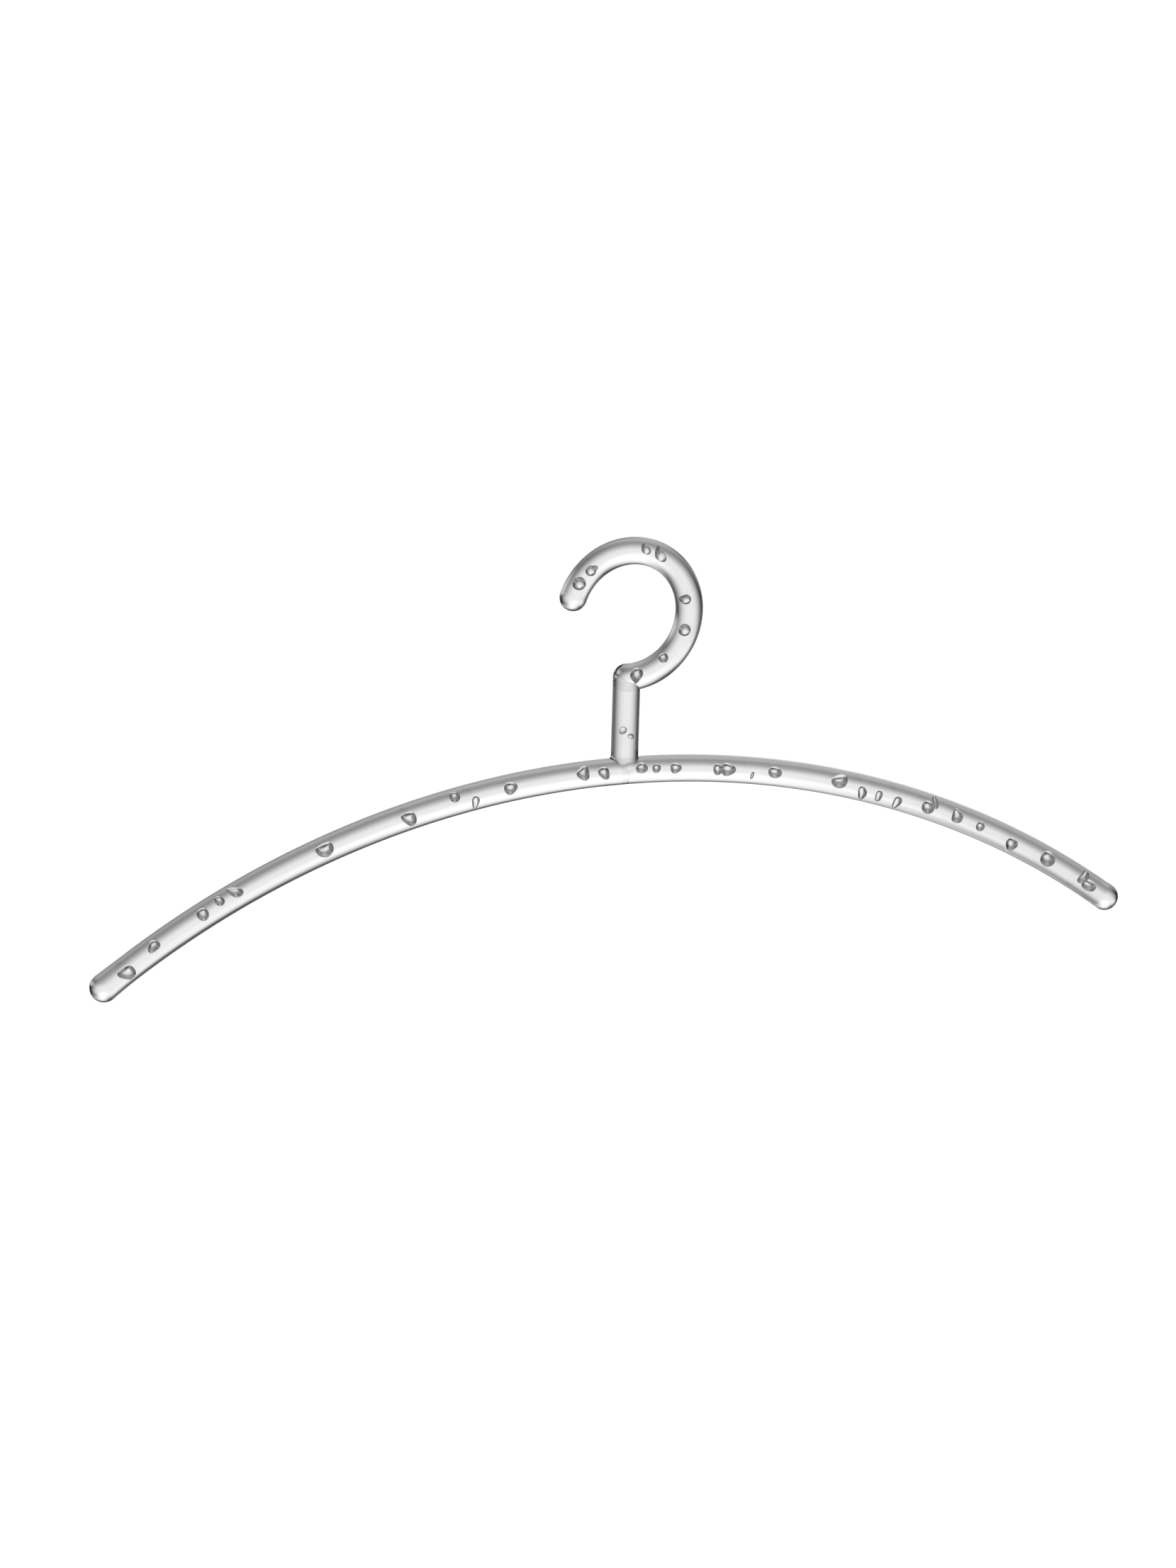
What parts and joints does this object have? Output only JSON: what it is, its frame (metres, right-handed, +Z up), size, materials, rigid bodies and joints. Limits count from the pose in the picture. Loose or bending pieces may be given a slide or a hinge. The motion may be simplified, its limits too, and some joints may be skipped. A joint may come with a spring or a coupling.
{
  "type": "clothes hanger",
  "caption": "Clear acrylic rod clothes hanger: two arms in one shallow arc, a short saddled stem and a round rail hook, cemented together.",
  "frame": {"origin": "inner top of the hook, where the hanger rests on its rail", "axes": "+X across the arms, to the right with the hook's mouth on the left; +Y through the rod's thickness, away from the viewer; +Z up"},
  "size_m": [0.4454, 0.0116, 0.1709],
  "materials": {
    "clear_acrylic": "clear solid acrylic, flame polished, with trapped air bubbles"
  },
  "bodies": {
    "root": {"left_arm": "clear_acrylic", "right_arm": "clear_acrylic", "stem": "clear_acrylic", "hook": "clear_acrylic"}
  },
  "joints": []
}
